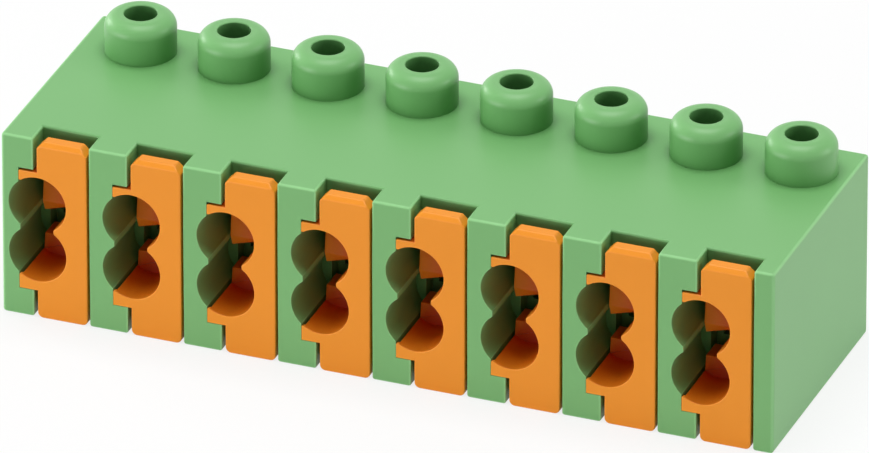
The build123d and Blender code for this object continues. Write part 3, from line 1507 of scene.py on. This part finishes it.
@dataclass
class Studio:
    """Floor, light, background and camera.

    Attributes:
        azimuth: Where the camera stands round the block, in degrees from the wire side.
        elevation: Its height above the point it is aimed at, in degrees.
        distance: Its distance, in metres.
        lens: Its focal length, in millimetres.
        clip: The nearest and the farthest distance that it sees, in metres.
        aim_height: Height of the point that everything is aimed at, in metres.
        aim_shift: How far the camera is moved up in its own view, in metres.
        floor_half: Half of the floor's side, in metres.
        floor_shade: The floor's grey.
        floor_roughness: Its roughness.
        floor_glow: How much of the floor is plain white to the camera, as a share.
        world_strength: Strength of the light from all round.
        lamps: The softboxes.
    """

    azimuth: float = 21.185
    elevation: float = 28.385
    distance: float = 0.7096
    lens: float = 850.0
    clip: tuple[float, float] = (0.01, 10.0)
    aim_height: float = 0.0035
    aim_shift: float = 0.0002
    floor_half: float = 0.6
    floor_shade: float = 0.9
    floor_roughness: float = 0.9
    floor_glow: float = 0.8
    world_strength: float = 0.14
    lamps: tuple[Lamp, ...] = (
        Lamp("overhead", 0.0, 90.0, 0.3, 0.2, 0.2, 0.78),
        Lamp("rear_left", -110.0, 13.0, 0.3, 0.12, 0.12, 0.32),
        Lamp("rear_right", 105.0, 15.0, 0.3, 0.12, 0.12, 0.24),
        Lamp("front", -35.0, 8.0, 0.3, 0.15, 0.08, 0.17),
        Lamp("low_front", -50.0, 0.0, 0.2, 0.15, 0.0068, 0.11),
    )

    @staticmethod
    def direction(azimuth: float, elevation: float) -> Vector:
        """Direction from the object to a place at that azimuth and elevation, in degrees."""
        around, up = np.radians(azimuth), np.radians(elevation)
        return Vector((np.sin(around) * np.cos(up), -np.cos(around) * np.cos(up), np.sin(up)))

    def camera(self) -> None:
        """A long lens at the photograph's angle."""
        data = bpy.data.cameras.new("camera")
        data.lens = self.lens
        data.clip_start, data.clip_end = self.clip
        thing = linked("camera", data)
        back = self.direction(self.azimuth, self.elevation)
        turn = (-back).to_track_quat("-Z", "Y")
        upward = turn @ Vector((0, 1, 0))
        thing.rotation_mode = "QUATERNION"
        thing.rotation_quaternion = turn
        aim = Vector((0, 0, self.aim_height)) + upward * self.aim_shift
        thing.location = aim + back * self.distance
        bpy.context.scene.camera = thing

    @staticmethod
    def seen_rays(wiring: Wiring) -> bpy.types.NodeSocket:
        """1 for the rays that show a surface: to the camera, off gloss and through glass.

        Args:
            wiring: The wiring to add it to.

        Returns:
            The output that gives it.
        """
        path = wiring.node("LightPath", {})
        straight = wiring.math("MAXIMUM", path["Is Camera Ray"], path["Is Glossy Ray"])
        return wiring.math("MAXIMUM", straight, path["Is Transmission Ray"])

    def floor(self) -> None:
        """A pale floor that turns nearly white for the camera and keeps a soft shadow."""
        half = self.floor_half
        corners = [(x, y, 0.0) for x, y in rectangle(-half, half, -half, half)]
        mesh = bpy.data.meshes.new("floor")
        mesh.from_pydata(corners, [], [[0, 1, 2, 3]])
        thing = linked("floor", mesh)
        material, wiring = Finishes.started("floor_white")
        surface = wiring.tree.nodes["Principled BSDF"]
        surface.inputs["Base Color"].default_value = (*(self.floor_shade,) * 3, 1.0)
        surface.inputs["Roughness"].default_value = self.floor_roughness
        glow = wiring.node("Emission", {})["Emission"]
        share = wiring.math("MULTIPLY", self.seen_rays(wiring), self.floor_glow)
        mix = wiring.node("MixShader", {"Fac": share, 1: surface.outputs["BSDF"], 2: glow})
        wiring.feed(wiring.tree.nodes["Material Output"], {"Surface": mix["Shader"]})
        mesh.materials.append(material)

    def world(self) -> None:
        """Soft light all round, white to the camera, to gloss and through glass."""
        world = bpy.data.worlds.new("soft_light")
        world.use_nodes = True
        bpy.context.scene.world = world
        wiring = Wiring(world.node_tree)
        ramp = {"Value": self.seen_rays(wiring), "To Min": self.world_strength, "To Max": 1.0}
        strength = wiring.node("MapRange", ramp)["Result"]
        background = wiring.tree.nodes["Background"]
        wiring.feed(background, {"Color": (1.0, 1.0, 1.0, 1.0), "Strength": strength})

    def light(self, lamp: Lamp) -> None:
        """Puts up one softbox.

        Args:
            lamp: Its place and values.
        """
        data = bpy.data.lights.new(lamp.name, "AREA")
        data.shape = "RECTANGLE"
        data.energy = lamp.power
        data.size = lamp.width
        data.size_y = lamp.height
        thing = linked(lamp.name, data)
        back = self.direction(lamp.azimuth, lamp.elevation)
        thing.location = Vector((0.0, 0.0, self.aim_height)) + back * lamp.distance
        thing.rotation_mode = "QUATERNION"
        thing.rotation_quaternion = (-back).to_track_quat("-Z", "Y")

    def built(self) -> None:
        """Sets the whole studio up."""
        bpy.context.scene.view_settings.view_transform = "Standard"
        self.floor()
        self.world()
        for lamp in self.lamps:
            self.light(lamp)
        self.camera()


def main() -> None:
    """Builds every piece and the studio."""
    logging.basicConfig(level=logging.INFO, format="%(message)s")
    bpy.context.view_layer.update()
    finishes = Finishes()
    row = PoleRow()
    hole = WireHole()
    Housing(row, hole).dressed(finishes)
    Actuator(row, hole).dressed(finishes)
    Clamps(row).dressed(finishes)
    Studio().built()


if __name__ == "__main__":
    main()
